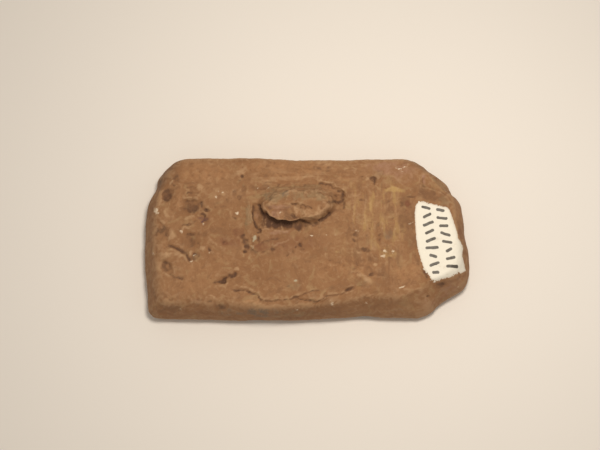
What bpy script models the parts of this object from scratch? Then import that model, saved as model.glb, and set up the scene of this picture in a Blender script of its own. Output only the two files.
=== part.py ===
# A fired clay stamp seal lying on its stamping face: an oblong slab with worn and broken corners, and on
# its back the stump of a lug handle that has broken off. Lengths are in millimetres, scaled by MM at the end.

import bpy
import numpy as np
from mathutils import Matrix

MM = 0.001

# The widest outline of the slab, low on its sides. Each end is a line of (y, x), each side one of (x, y).
HALF_LENGTH = 37.6
NEAR_LINE = -18.2
FAR_LINE = 19.6
LEFT_END = ((-18.2, -36.2), (-14.0, -36.7), (-10.0, -37.1), (-5.0, -37.6), (0.0, -37.8), (7.0, -37.7),
            (9.6, -37.4), (11.2, -36.8), (12.6, -36.0), (14.0, -35.6), (15.5, -35.5), (17.2, -34.6),
            (19.6, -34.0))
RIGHT_END = ((-18.2, 25.4), (-17.5, 27.2), (-16.6, 28.7), (-15.7, 29.5), (-14.8, 30.7), (-13.8, 32.4),
             (-12.9, 34.2), (-12.0, 35.6), (-11.0, 36.4), (-10.0, 36.9), (-7.2, 37.5), (-4.4, 37.6),
             (1.4, 36.9), (7.2, 36.5), (8.8, 36.3), (10.2, 35.6), (11.2, 34.5), (12.4, 34.0),
             (13.6, 33.5), (15.6, 31.5), (17.0, 29.5), (18.4, 28.2), (19.6, 26.4))
NEAR_SIDE = ((-37.0, -17.7), (-33.0, -18.05), (-26.0, -18.25), (0.0, -18.25), (5.0, -18.05),
             (10.0, -17.75), (14.0, -17.6), (19.0, -17.85), (26.0, -17.95), (37.0, -17.6))
FAR_SIDE = ((-37.0, 18.6), (-30.0, 19.5), (-22.0, 19.75), (-12.0, 19.7), (-4.0, 19.25), (22.0, 19.25),
            (37.0, 18.6))
NEAR_LEFT_RADIUS = 1.8
FAR_LEFT_RADIUS = 3.2

# The sides: height of the widest line as a share of the thickness, and how far each side leans in above it.
WIDEST = 0.23
FOOT_ROUND = 0.8
LEAN_CURVE = 1.5
END_LEAN = 3.1
FAR_LEAN = 1.1
NEAR_LEAN = ((-37.0, 2.4), (-18.0, 2.3), (-12.0, 1.6), (0.0, 1.8), (8.0, 2.4), (14.0, 3.2), (26.0, 3.6))
SIDE_ROWS = (0.86, 0.66, 0.44, 0.23, 0.09, 0.0)

# The back: thickness at each end, the soft shoulders along its edges, and the swelling under the handle.
THICK_LEFT = 9.3
THICK_RIGHT = 10.2
NEAR_SHOULDER = (0.7, 2.2)
END_SHOULDER = (0.6, 2.0)
FAR_SHOULDER = (1.0, 5.0)
SWELLING = {"x": -1.5, "y": 5.5, "wide": 15.0, "deep": 8.5, "rise": 1.3}

# The stump: an oval with a steep broken front, a long slope behind, and a fracture in two levels.
STUMP = {"x": -2.2, "y": 6.4, "half_x": 8.6, "half_y": 4.3, "power": 2.8}
STUMP_RISE = 3.0
STUMP_WALLS = {"front": 0.9, "back": 3.2, "blend": 1.5}
STUMP_FOOT_SHARE = 0.3
FRACTURE_STEP = {"y": 5.6, "drop": 0.8, "soft": 0.5, "end_x": -1.0, "end_soft": 0.7}
STUMP_COLLAR = {"away": 2.4, "width": 1.2, "rise": 0.4, "grows_over": 3.0}

# Broad dents and swellings in the back: x, y, half sizes and height, negative for a dent.
HOLLOWS = (
    (-11.2, 3.6, 0.9, 3.4, -0.9),
    (-13.3, 4.4, 0.8, 3.4, 0.4),
    (7.4, 7.9, 1.7, 1.9, -1.3),
    (-26.0, 6.4, 2.4, 1.8, -0.8),
    (-26.4, -1.6, 2.2, 2.0, -0.7),
    (-32.0, 10.0, 1.6, 2.6, -0.8),
    (-33.2, -0.4, 1.5, 1.8, -0.6),
    (-31.6, -7.4, 1.6, 1.6, -0.7),
    (-18.6, -10.6, 1.9, 0.9, -0.7),
    (-13.2, -2.4, 1.8, 2.4, -0.6),
    (16.0, 13.6, 1.3, 1.3, 0.5),
    (28.0, 9.0, 3.6, 1.6, -0.5),
    (22.6, 4.0, 1.4, 6.5, -0.4),
)

# Breaks: a point of each plane and its outward direction. What stands beyond the plane has broken away.
BREAKS = (
    ((30.5, 11.3, 9.8), (0.59, 0.55, 0.59)),
    ((31.5, -11.3, 9.9), (0.33, -0.60, 0.73)),
    ((-33.4, 14.5, 9.0), (-0.60, 0.35, 0.72)),
)

# The stamping face: two grooves across it part three panels, each with a lozenge and a dimple.
GROOVES = ((-11.5, 2.5), (13.5, 1.9))
GROOVE_DEPTH = 1.1
GROOVE_REACH = 24.0
PANELS = (-25.4, 1.2, 25.4)
LOZENGE = {"half_x": 8.6, "half_y": 12.6, "width": 3.4, "depth": 1.2, "draft": 0.5}
DIMPLE = {"radius": 2.6, "depth": 1.1}

# The break has worn in under the front of the stump.
UNDERCUT = {"x": -5.6, "y": 2.5, "z": 11.3, "half_x": 4.8, "half_y": 1.7, "half_z": 0.9}

# Spacing of the lines of the back, closer over the stump.
FINE_STEP = 0.75
COARSE_STEP = 1.9
STUMP_REACH_X = (-15.0, 10.5)
STUMP_REACH_Y = (0.5, 13.0)


def curve(points, at):
    """A smooth line through the points, read at the first coordinate."""
    xs, ys = np.array(points, float).T
    slopes = np.gradient(ys, xs)
    at = np.clip(at, xs[0], xs[-1])
    i = np.clip(np.searchsorted(xs, at) - 1, 0, len(xs) - 2)
    step = xs[i + 1] - xs[i]
    t = (at - xs[i]) / step
    value = ys[i] * (1 + 2 * t) * (1 - t) ** 2 + ys[i + 1] * t * t * (3 - 2 * t)
    return value + step * (slopes[i] * t * (1 - t) ** 2 - slopes[i + 1] * t * t * (1 - t))


def ease(low, high, value):
    """0 up to low, 1 from high, and a smooth way between them."""
    t = np.clip((value - low) / (high - low), 0, 1)
    return t * t * (3 - 2 * t)


def lean(share, reach):
    """How far a side stands in from its widest line at a share of the height."""
    foot = FOOT_ROUND * np.clip(1 - share / WIDEST, 0, 1) ** 2
    return foot + reach * np.clip((share - WIDEST) / (1 - WIDEST), 0, 1) ** LEAN_CURVE


def round_corner(from_end, from_side, radius):
    """Moves points near a corner in, so that the corner is an arc of this radius."""
    across = np.clip(radius - from_end, 0, None)
    along = np.clip(radius - from_side, 0, None)
    away = np.hypot(across, along)
    scale = np.where(away > 0, np.maximum(across, along) / np.where(away > 0, away, 1), 1)
    corner = (across > 0) & (along > 0)
    moved_end = np.where(corner, radius - across * scale, from_end)
    moved_side = np.where(corner, radius - along * scale, from_side)
    return moved_end, moved_side


def shoulder(distance, drop_and_width):
    """Drop of the back near an edge."""
    drop, width = drop_and_width
    return drop * np.clip(1 - distance / width, 0, 1) ** 2


def stump_distance(x, y):
    """Distance inside the stump's oval outline, negative outside it."""
    across = np.abs(x - STUMP["x"]) / STUMP["half_x"]
    along = np.abs(y - STUMP["y"]) / STUMP["half_y"]
    power = STUMP["power"]
    return (1 - (across ** power + along ** power) ** (1 / power)) * STUMP["half_y"]


def stump_height(x, y):
    """Height of the broken handle above the back."""
    inside = stump_distance(x, y)
    behind = y - STUMP["y"]
    front = ease(STUMP_WALLS["blend"], -STUMP_WALLS["blend"], behind)
    wall = STUMP_WALLS["back"] + (STUMP_WALLS["front"] - STUMP_WALLS["back"]) * front
    rise = STUMP_RISE * ease(-STUMP_FOOT_SHARE * wall, (1 - STUMP_FOOT_SHARE) * wall, inside)
    step = ease(FRACTURE_STEP["soft"], -FRACTURE_STEP["soft"], y - FRACTURE_STEP["y"])
    step = step * ease(FRACTURE_STEP["end_soft"], -FRACTURE_STEP["end_soft"], x - FRACTURE_STEP["end_x"])
    collar = np.exp(-(((inside + STUMP_COLLAR["away"]) / STUMP_COLLAR["width"]) ** 2))
    collar = STUMP_COLLAR["rise"] * collar * ease(0, STUMP_COLLAR["grows_over"], behind)
    return rise - FRACTURE_STEP["drop"] * step * ease(0, 1, inside) + collar


def back_height(x, y):
    """Height of the back over the table, without its shoulders."""
    share = np.clip((x + HALF_LENGTH) / (2 * HALF_LENGTH), 0, 1)
    height = THICK_LEFT + (THICK_RIGHT - THICK_LEFT) * share ** 2
    across = (x - SWELLING["x"]) / SWELLING["wide"]
    along = (y - SWELLING["y"]) / SWELLING["deep"]
    height = height + SWELLING["rise"] * np.exp(-(across ** 2 + along ** 2))
    for at_x, at_y, half_x, half_y, rise in HOLLOWS:
        reach = ((x - at_x) / half_x) ** 2 + ((y - at_y) / half_y) ** 2
        height = height + rise * np.exp(-reach)
    return height + stump_height(x, y)


def surface(u, v, share):
    """Points of the slab: u and v run from -1 to 1 along and across it, share from 0 to 1 up its sides."""
    y = NEAR_LINE + (FAR_LINE - NEAR_LINE) * (v + 1) / 2
    left = curve(LEFT_END, y) + lean(share, END_LEAN)
    right = curve(RIGHT_END, y) - lean(share, END_LEAN)
    x = left + (right - left) * (u + 1) / 2
    near = curve(NEAR_SIDE, x) + lean(share, curve(NEAR_LEAN, x))
    far = curve(FAR_SIDE, x) - lean(share, FAR_LEAN)
    from_left = x - left
    from_near = (far - near) * (v + 1) / 2
    from_left, from_near = round_corner(from_left, from_near, NEAR_LEFT_RADIUS)
    from_far = far - near - from_near
    from_left, from_far = round_corner(from_left, from_far, FAR_LEFT_RADIUS)
    x = left + from_left
    y = far - from_far
    drop = shoulder(far - near - from_far, NEAR_SHOULDER) + shoulder(from_far, FAR_SHOULDER)
    drop = drop + shoulder(from_left, END_SHOULDER) + shoulder(right - x, END_SHOULDER)
    points = np.stack([x, y, share * (back_height(x, y) - drop)], axis=1)
    for on_plane, outward in BREAKS:
        outward = np.array(outward) / np.linalg.norm(outward)
        beyond = np.clip((points - on_plane) @ outward, 0, None)
        points = points - beyond[:, None] * outward
    return points


def graded(low, high, fine_low, fine_high):
    """Lines from low to high, closer together between the two fine limits."""
    stretches = (
        (low, fine_low, COARSE_STEP),
        (fine_low, fine_high, FINE_STEP),
        (fine_high, high, COARSE_STEP),
    )
    lines = [np.linspace(a, b, round((b - a) / step), endpoint=False) for a, b, step in stretches]
    return np.append(np.concatenate(lines), high)


def slab_mesh():
    """The closed surface of the slab: a grid over the back, rows down the sides, and one flat face below."""
    u = graded(-HALF_LENGTH, HALF_LENGTH, *STUMP_REACH_X) / HALF_LENGTH
    v = 2 * (graded(NEAR_LINE, FAR_LINE, *STUMP_REACH_Y) - NEAR_LINE) / (FAR_LINE - NEAR_LINE) - 1
    columns, rows = len(u), len(v)
    grid_u, grid_v = np.meshgrid(u, v)
    points = [surface(grid_u.ravel(), grid_v.ravel(), 1.0)]

    def at(i, j):
        return j * columns + i

    faces = [(at(i, j), at(i + 1, j), at(i + 1, j + 1), at(i, j + 1))
             for j in range(rows - 1) for i in range(columns - 1)]
    edge = [at(i, 0) for i in range(columns - 1)]
    edge += [at(columns - 1, j) for j in range(rows - 1)]
    edge += [at(i, rows - 1) for i in range(columns - 1, 0, -1)]
    edge += [at(0, j) for j in range(rows - 1, 0, -1)]
    edge_u = grid_u.ravel()[edge]
    edge_v = grid_v.ravel()[edge]
    above = edge
    first = columns * rows
    for share in SIDE_ROWS:
        points.append(surface(edge_u, edge_v, share))
        below = list(range(first, first + len(edge)))
        for k in range(len(edge)):
            after = (k + 1) % len(edge)
            faces.append((above[k], below[k], below[after], above[after]))
        above = below
        first += len(edge)
    faces.append(tuple(reversed(above)))
    points = np.concatenate(points)
    middle = (points.max(axis=0) + points.min(axis=0)) / 2
    middle[2] = 0
    mesh = bpy.data.meshes.new("clay_seal")
    mesh.from_pydata((points * MM).tolist(), [], faces)
    return mesh, middle * MM


def hidden_cutter(name, mesh):
    cutter = bpy.data.objects.new(name, mesh)
    bpy.context.collection.objects.link(cutter)
    cutter.hide_render = True
    cutter.display_type = "WIRE"
    return cutter


def groove_cutter(name, x, half_width):
    """A half-round channel across the whole stamping face."""
    sides = 16
    turn = np.linspace(0, 2 * np.pi, sides, endpoint=False)
    ring = np.stack([x + half_width * np.cos(turn), np.zeros(sides), GROOVE_DEPTH * np.sin(turn)], axis=1)
    reach = np.array([0, GROOVE_REACH, 0])
    faces = [tuple(range(sides)), tuple(reversed(range(sides, 2 * sides)))]
    for k in range(sides):
        after = (k + 1) % sides
        faces.append((after, k, k + sides, after + sides))
    mesh = bpy.data.meshes.new(name)
    mesh.from_pydata((np.concatenate([ring - reach, ring + reach]) * MM).tolist(), [], faces)
    return hidden_cutter(name, mesh)


def lozenge_cutter(name, x):
    """A channel round a lozenge, wider at its mouth than at its floor."""
    width, depth, draft = LOZENGE["width"], LOZENGE["depth"], LOZENGE["draft"]
    # Each row of the section: how far inside the outer outline, and the height.
    section = ((-draft, -depth), (width + draft, -depth), (width - draft, depth), (draft, depth))
    points = []
    for inside, z in section:
        scale = 1 - inside / LOZENGE["half_x"]
        half_x, half_y = LOZENGE["half_x"] * scale, LOZENGE["half_y"] * scale
        points += [(x + half_x, 0, z), (x, half_y, z), (x - half_x, 0, z), (x, -half_y, z)]
    faces = []
    for row in range(4):
        for k in range(4):
            after = (k + 1) % 4
            lower, upper = 4 * row, 4 * ((row + 1) % 4)
            faces.append((lower + after, lower + k, upper + k, upper + after))
    mesh = bpy.data.meshes.new(name)
    mesh.from_pydata((np.array(points) * MM).tolist(), [], faces)
    return hidden_cutter(name, mesh)


def ball_cutter(name, middle, halves, segments, rings):
    """A ball with three half sizes."""
    bpy.ops.mesh.primitive_uv_sphere_add(segments=segments, ring_count=rings, radius=1)
    ball = bpy.context.object
    stretched = Matrix.Diagonal((*(np.array(halves) * MM), 1))
    ball.data.transform(Matrix.Translation(np.array(middle) * MM) @ stretched)
    ball.name = name
    ball.hide_render = True
    ball.display_type = "WIRE"
    return ball


def cut(body, cutter):
    modifier = body.modifiers.new(cutter.name, "BOOLEAN")
    modifier.operation = "DIFFERENCE"
    modifier.object = cutter
    modifier.solver = "EXACT"


def clay():
    material = bpy.data.materials.new("fired_clay")
    material.use_nodes = True
    shader = material.node_tree.nodes["Principled BSDF"]
    shader.inputs["Base Color"].default_value = (0.31, 0.16, 0.07, 1)
    shader.inputs["Roughness"].default_value = 0.85
    shader.inputs["Metallic"].default_value = 0.0
    return material


def main():
    for old in list(bpy.data.objects):
        bpy.data.objects.remove(old)
    mesh, middle = slab_mesh()
    mesh.materials.append(clay())
    seal = bpy.data.objects.new("clay_seal", mesh)
    bpy.context.collection.objects.link(seal)
    cutters = [groove_cutter(f"groove_{k}", x, half_width) for k, (x, half_width) in enumerate(GROOVES)]
    for k, x in enumerate(PANELS):
        cutters.append(lozenge_cutter(f"lozenge_{k}", x))
        halves = (DIMPLE["radius"], DIMPLE["radius"], DIMPLE["depth"])
        cutters.append(ball_cutter(f"dimple_{k}", (x, 0, 0), halves, 12, 8))
    halves = (UNDERCUT["half_x"], UNDERCUT["half_y"], UNDERCUT["half_z"])
    cutters.append(ball_cutter("undercut", (UNDERCUT["x"], UNDERCUT["y"], UNDERCUT["z"]), halves, 16, 8))
    # The outline was drawn about a point near its middle: now the middle of its box comes to the axes.
    for thing in [seal, *cutters]:
        thing.data.transform(Matrix.Translation(-middle))
    for cutter in cutters:
        cut(seal, cutter)


main()
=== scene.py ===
import bpy
import numpy as np
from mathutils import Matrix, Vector


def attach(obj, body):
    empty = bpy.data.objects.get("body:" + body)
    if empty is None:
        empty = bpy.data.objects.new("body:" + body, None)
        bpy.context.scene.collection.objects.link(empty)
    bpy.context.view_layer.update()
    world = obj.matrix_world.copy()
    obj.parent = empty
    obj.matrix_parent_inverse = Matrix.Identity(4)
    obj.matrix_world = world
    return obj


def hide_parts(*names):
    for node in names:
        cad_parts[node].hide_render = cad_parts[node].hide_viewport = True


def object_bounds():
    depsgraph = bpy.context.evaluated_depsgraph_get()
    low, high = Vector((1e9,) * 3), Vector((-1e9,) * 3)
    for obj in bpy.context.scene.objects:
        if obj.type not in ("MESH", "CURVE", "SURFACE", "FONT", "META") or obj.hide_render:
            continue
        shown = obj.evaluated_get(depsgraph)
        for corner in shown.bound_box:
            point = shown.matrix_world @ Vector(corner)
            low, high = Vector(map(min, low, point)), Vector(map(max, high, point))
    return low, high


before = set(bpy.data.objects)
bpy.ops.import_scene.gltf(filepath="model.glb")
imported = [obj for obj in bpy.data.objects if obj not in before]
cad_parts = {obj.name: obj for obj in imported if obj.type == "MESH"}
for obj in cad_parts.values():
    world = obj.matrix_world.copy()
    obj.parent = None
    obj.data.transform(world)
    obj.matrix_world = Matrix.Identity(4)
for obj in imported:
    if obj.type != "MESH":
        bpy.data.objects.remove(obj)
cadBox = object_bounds()
print("CAD frame loaded")

mm = 0.001


# Tools for lines, steps and rough surfaces. Lengths are in millimetres until the mesh is written.

def softCurve(points, at):  # a smooth line through the points
    xs, ys = np.array(points, float).T
    slopes = np.gradient(ys, xs)
    at = np.clip(at, xs[0], xs[-1])
    i = np.clip(np.searchsorted(xs, at) - 1, 0, len(xs) - 2)
    step = xs[i + 1] - xs[i]
    t = (at - xs[i]) / step
    value = ys[i] * (1 + 2 * t) * (1 - t) ** 2 + ys[i + 1] * t * t * (3 - 2 * t)
    return value + step * (slopes[i] * t * (1 - t) ** 2 - slopes[i + 1] * t * t * (1 - t))


def softStep(low, high, value):  # 0 up to low, 1 from high
    t = np.clip((value - low) / (high - low), 0, 1)
    return t * t * (3 - 2 * t)


def softPath(points, pieces=5):  # more points on a smooth path through these
    points = np.array(points, float)
    before = np.vstack([2 * points[0] - points[1], points[:-1]])
    after = np.vstack([points[1:], 2 * points[-1] - points[-2]])
    pull = (after - before) / 2
    t = np.linspace(0, 1, pieces, endpoint=False)[:, None]
    spans = []
    for k in range(len(points) - 1):
        start, end = points[k], points[k + 1]
        spans.append(start * (1 + 2 * t) * (1 - t) ** 2 + end * t * t * (3 - 2 * t)
                     + pull[k] * t * (1 - t) ** 2 - pull[k + 1] * t * t * (1 - t))
    return np.vstack([*spans, points[-1:]])


def fromPath(places, path):  # distance to a path, which side it is on (left is positive), and how far along
    best = np.full(len(places), 1e9)
    side = np.zeros(len(places))
    along = np.zeros(len(places))
    for k in range(len(path) - 1):
        step = path[k + 1] - path[k]
        length = np.hypot(*step)
        off = places - path[k]
        t = np.clip((off @ step) / length ** 2, 0, 1)
        away = np.hypot(*(off - t[:, None] * step).T)
        nearer = away < best
        cross = step[0] * off[:, 1] - step[1] * off[:, 0]
        best = np.where(nearer, away, best)
        side = np.where(nearer, np.sign(cross), side)
        along = np.where(nearer, (k + t) / (len(path) - 1), along)
    return best, side, along


chance = np.random.default_rng(11)
shuffled = chance.permutation(512)
tilts = chance.normal(size=(512, 3))
tilts /= np.linalg.norm(tilts, axis=1)[:, None]


def bumps(points, size, seed=0):  # smooth hills from about -1 to 1, one every size millimetres
    spot = points / size + seed * 17.31
    cell = np.floor(spot).astype(int)
    local = spot - cell
    soft = local ** 3 * (local * (local * 6 - 15) + 10)
    total = np.zeros(len(points))
    for corner in np.ndindex(2, 2, 2):
        a, b, c = (cell + corner).T % 512
        index = shuffled[(shuffled[(shuffled[a] + b) % 512] + c) % 512]
        share = np.prod(np.where(corner, soft, 1 - soft), axis=1)
        total += share * np.einsum("ij,ij->i", tilts[index], local - corner)
    return total * 1.8


def rubble(points, size, layers, seed=0):  # hills with smaller hills on them
    return sum(0.5 ** k * bumps(points, size / 2 ** k, seed + k) for k in range(layers))


# The form of the seal, the same as the solid's: each end is a line of (y, x), each side one of (x, y).
seal = {
    "leftEnd": ((-18.2, -36.2), (-14, -36.7), (-10, -37.1), (-5, -37.6), (0, -37.8), (7, -37.7),
                (9.6, -37.4), (11.2, -36.8), (12.6, -36), (14, -35.6), (15.5, -35.5), (17.2, -34.6),
                (19.6, -34)),
    "rightEnd": ((-18.2, 25.4), (-17.5, 27.2), (-16.6, 28.7), (-15.7, 29.5), (-14.8, 30.7),
                 (-13.8, 32.4), (-12.9, 34.2), (-12, 35.6), (-11, 36.4), (-10, 36.9), (-7.2, 37.5),
                 (-4.4, 37.6), (1.4, 36.9), (7.2, 36.5), (8.8, 36.3), (10.2, 35.6), (11.2, 34.5),
                 (12.4, 34), (13.6, 33.5), (15.6, 31.5), (17, 29.5), (18.4, 28.2), (19.6, 26.4)),
    "nearSide": ((-37, -17.7), (-33, -18.05), (-26, -18.25), (0, -18.25), (5, -18.05), (10, -17.75),
                 (14, -17.6), (19, -17.85), (26, -17.95), (37, -17.6)),
    "farSide": ((-37, 18.6), (-30, 19.5), (-22, 19.75), (-12, 19.7), (-4, 19.25), (22, 19.25),
                (37, 18.6)),
    "nearLine": -18.2, "farLine": 19.6, "halfLength": 37.6,
    "nearLeftRadius": 1.8, "farLeftRadius": 3.2,
    "widest": 0.23, "footRound": 0.8, "leanCurve": 1.5, "endLean": 3.1, "farLean": 1.1,
    "nearLean": ((-37, 2.4), (-18, 2.3), (-12, 1.6), (0, 1.8), (8, 2.4), (14, 3.2), (26, 3.6)),
    "thickness": (9.3, 10.2),
    "nearShoulder": (0.7, 2.2), "endShoulder": (0.6, 2.0), "farShoulder": (1.0, 5.0),
    "swelling": {"x": -1.5, "y": 5.5, "wide": 15, "deep": 8.5, "rise": 1.3},
    "stump": {"x": -2.2, "y": 6.4, "halfX": 8.6, "halfY": 4.3, "power": 2.8, "rise": 3.0,
              "frontWall": 0.9, "backWall": 3.2, "turn": 1.5, "footShare": 0.3,
              "bites": ((5.6, 3.3, 2.2, 1.6, 1.3), (-1.6, 1.9, 1.3, 0.9, 0.5)), "uneven": 0.28},
    "stumpStep": {"y": 5.6, "drop": 0.8, "soft": 0.5, "endX": -1.0, "endSoft": 0.7},
    "collar": {"away": 2.4, "width": 1.2, "rise": 0.4, "growsOver": 3.0},
    # x, y, half sizes and height of broad dents and swellings
    "hollows": ((-11.2, 3.6, 0.9, 3.4, -0.9), (-13.3, 4.4, 0.8, 3.4, 0.4), (7.4, 7.9, 1.7, 1.9, -1.3),
                (-26, 6.4, 2.4, 1.8, -0.8), (-26.4, -1.6, 2.2, 2, -0.7), (-32, 10, 1.6, 2.6, -0.8),
                (-33.2, -0.4, 1.5, 1.8, -0.6), (-31.6, -7.4, 1.6, 1.6, -0.7),
                (-18.6, -10.6, 1.9, 0.9, -0.7), (-13.2, -2.4, 1.8, 2.4, -0.6),
                (16, 13.6, 1.3, 1.3, 0.5), (28, 9, 3.6, 1.6, -0.5), (22.6, 4, 1.4, 6.5, -0.4)),
    # a point of each broken corner's plane and its outward direction
    "breaks": (((30.5, 11.3, 9.8), (0.59, 0.55, 0.59)), ((31.5, -11.3, 9.9), (0.33, -0.60, 0.73)),
               ((-33.4, 14.5, 9.0), (-0.60, 0.35, 0.72))),
    # the mesh: low, high and spacing of each stretch of lines, and the number of rows down the sides
    "linesX": ((-37.6, -15, 0.29), (-15, -9.3, 0.17), (-9.3, 6.5, 0.19), (6.5, 10.5, 0.19),
               (10.5, 37.6, 0.28)),
    "linesY": ((-18.2, 0.5, 0.27), (0.5, 1.6, 0.16), (1.6, 3.8, 0.1), (3.8, 13, 0.19), (13, 19.6, 0.28)),
    "sideRows": 24,
}


def sideLean(share, reach):  # how far a side stands in from its widest line
    foot = seal["footRound"] * np.clip(1 - share / seal["widest"], 0, 1) ** 2
    return foot + reach * np.clip((share - seal["widest"]) / (1 - seal["widest"]), 0, 1) ** seal["leanCurve"]


def roundCorner(fromEnd, fromSide, radius):
    across = np.clip(radius - fromEnd, 0, None)
    along = np.clip(radius - fromSide, 0, None)
    away = np.hypot(across, along)
    scale = np.where(away > 0, np.maximum(across, along) / np.where(away > 0, away, 1), 1)
    corner = (across > 0) & (along > 0)
    return (np.where(corner, radius - across * scale, fromEnd),
            np.where(corner, radius - along * scale, fromSide))


def edgeDrop(distance, dropAndWidth):
    drop, width = dropAndWidth
    return drop * np.clip(1 - distance / width, 0, 1) ** 2


def stumpInside(x, y):  # distance inside the stump's oval, negative outside
    s = seal["stump"]
    across = np.abs(x - s["x"]) / s["halfX"]
    along = np.abs(y - s["y"]) / s["halfY"]
    inside = (1 - (across ** s["power"] + along ** s["power"]) ** (1 / s["power"])) * s["halfY"]
    flat = np.stack([x, y, 0 * x], axis=1)
    for atX, atY, halfX, halfY, depth in s["bites"]:
        inside = inside - depth * np.exp(-((x - atX) / halfX) ** 2 - ((y - atY) / halfY) ** 2)
    return inside + s["uneven"] * rubble(flat, 3.2, 2, 130)


def stumpHeight(x, y):
    s, cut, collar = seal["stump"], seal["stumpStep"], seal["collar"]
    inside = stumpInside(x, y)
    behind = y - s["y"]
    front = softStep(s["turn"], -s["turn"], behind)
    wall = s["backWall"] + (s["frontWall"] - s["backWall"]) * front
    rise = s["rise"] * softStep(-s["footShare"] * wall, (1 - s["footShare"]) * wall, inside)
    step = softStep(cut["soft"], -cut["soft"], y - cut["y"])
    step = step * softStep(cut["endSoft"], -cut["endSoft"], x - cut["endX"])
    ring = np.exp(-((inside + collar["away"]) / collar["width"]) ** 2) * softStep(0, collar["growsOver"], behind)
    return rise - cut["drop"] * step * softStep(0, 1, inside) + collar["rise"] * ring


def backHeight(x, y):
    low, high = seal["thickness"]
    height = low + (high - low) * np.clip((x + seal["halfLength"]) / (2 * seal["halfLength"]), 0, 1) ** 2
    bulge = seal["swelling"]
    reach = ((x - bulge["x"]) / bulge["wide"]) ** 2 + ((y - bulge["y"]) / bulge["deep"]) ** 2
    height = height + bulge["rise"] * np.exp(-reach)
    for atX, atY, halfX, halfY, rise in seal["hollows"]:
        height = height + rise * np.exp(-((x - atX) / halfX) ** 2 - ((y - atY) / halfY) ** 2)
    return height + stumpHeight(x, y)


def slabPoints(u, v, share):  # u and v run from -1 to 1 over the slab, share from 0 to 1 up its sides
    y = seal["nearLine"] + (seal["farLine"] - seal["nearLine"]) * (v + 1) / 2
    left = softCurve(seal["leftEnd"], y) + sideLean(share, seal["endLean"])
    right = softCurve(seal["rightEnd"], y) - sideLean(share, seal["endLean"])
    x = left + (right - left) * (u + 1) / 2
    near = softCurve(seal["nearSide"], x) + sideLean(share, softCurve(seal["nearLean"], x))
    far = softCurve(seal["farSide"], x) - sideLean(share, seal["farLean"])
    fromLeft, fromNear = roundCorner(x - left, (far - near) * (v + 1) / 2, seal["nearLeftRadius"])
    fromLeft, fromFar = roundCorner(fromLeft, far - near - fromNear, seal["farLeftRadius"])
    x, y = left + fromLeft, far - fromFar
    drop = edgeDrop(y - near, seal["nearShoulder"]) + edgeDrop(fromFar, seal["farShoulder"])
    drop = drop + edgeDrop(fromLeft, seal["endShoulder"]) + edgeDrop(right - x, seal["endShoulder"])
    points = np.stack([x, y, share * (backHeight(x, y) - drop)], axis=1)
    for onPlane, outward in seal["breaks"]:
        outward = np.array(outward) / np.linalg.norm(outward)
        points = points - np.clip((points - onPlane) @ outward, 0, None)[:, None] * outward
    return points


def gradedLines(stretches):  # an even number of steps in each stretch, so that the underside can use every second line
    lines = [np.linspace(low, high, 2 * round((high - low) / step / 2), endpoint=False)
             for low, high, step in stretches]
    return np.append(np.concatenate(lines), stretches[-1][1])


def slabMesh():  # a grid over the back, rows down the sides, and a coarser grid below
    u = gradedLines(seal["linesX"]) / seal["halfLength"]
    v = 2 * (gradedLines(seal["linesY"]) - seal["nearLine"]) / (seal["farLine"] - seal["nearLine"]) - 1
    columns, rows = len(u), len(v)
    gridU, gridV = np.meshgrid(u, v)
    points = [slabPoints(gridU.ravel(), gridV.ravel(), 1.0)]
    index = np.arange(columns * rows).reshape(rows, columns)
    faces = np.stack([index[:-1, :-1], index[:-1, 1:], index[1:, 1:], index[1:, :-1]], axis=-1)
    faces = faces.reshape(-1, 4).tolist()
    edge = np.concatenate([index[0, :-1], index[:-1, -1], index[-1, :0:-1], index[:0:-1, 0]])
    above, first = edge, columns * rows
    share = 1 - np.linspace(0, 1, seal["sideRows"] + 1)[1:]
    for level in share:
        points.append(slabPoints(gridU.ravel()[edge], gridV.ravel()[edge], level))
        below = first + np.arange(len(edge))
        faces += np.stack([above, below, np.roll(below, -1), np.roll(above, -1)], axis=1).tolist()
        above, first = below, first + len(edge)
    # the underside: its rim is the last row, and a cell at the rim takes in the points between
    under = np.full((rows, columns), -1)
    under.ravel()[edge] = above
    inner = index[2:-2:2, 2:-2:2]
    under[2:-2:2, 2:-2:2] = first + np.arange(inner.size).reshape(inner.shape)
    points.append(slabPoints(gridU.ravel()[inner.ravel()], gridV.ravel()[inner.ravel()], 0.0))
    walk = ((0, 0), (0, 1), (0, 2), (1, 2), (2, 2), (2, 1), (2, 0), (1, 0))
    for j in range(0, rows - 1, 2):
        for i in range(0, columns - 1, 2):
            cell = [under[j + a, i + b] for a, b in walk]
            faces.append([int(k) for k in reversed(cell) if k >= 0])
    return np.concatenate(points), faces, columns * rows


points, faces, backCount = slabMesh()
lowest, highest = points.min(axis=0), points.max(axis=0)
middle = np.array([*(lowest + highest)[:2] / 2, 0])
mesh = bpy.data.meshes.new("firedClaySeal")
mesh.from_pydata(points.tolist(), [], faces)
ends = np.empty(len(mesh.edges) * 2, int)
mesh.edges.foreach_get("vertices", ends)
ends = ends.reshape(-1, 2)
neighbours = np.bincount(ends.ravel(), minlength=len(points))[:, None]
print("slab mesh:", len(points), "points")


def relaxed(points, rounds, share=0.5):  # each point moves towards the mean of its neighbours, by a share
    a, b = ends.T
    for _ in range(rounds):
        total = [np.bincount(a, points[b, k], len(points)) + np.bincount(b, points[a, k], len(points))
                 for k in range(3)]
        points = points + share * (np.stack(total, axis=1) / neighbours - points)
    return points


def outwardOf(points):
    mesh.vertices.foreach_set("co", points.ravel())
    mesh.update()
    normals = np.empty(len(points) * 3)
    mesh.vertex_normals.foreach_get("vector", normals)
    return normals.reshape(-1, 3)


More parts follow.
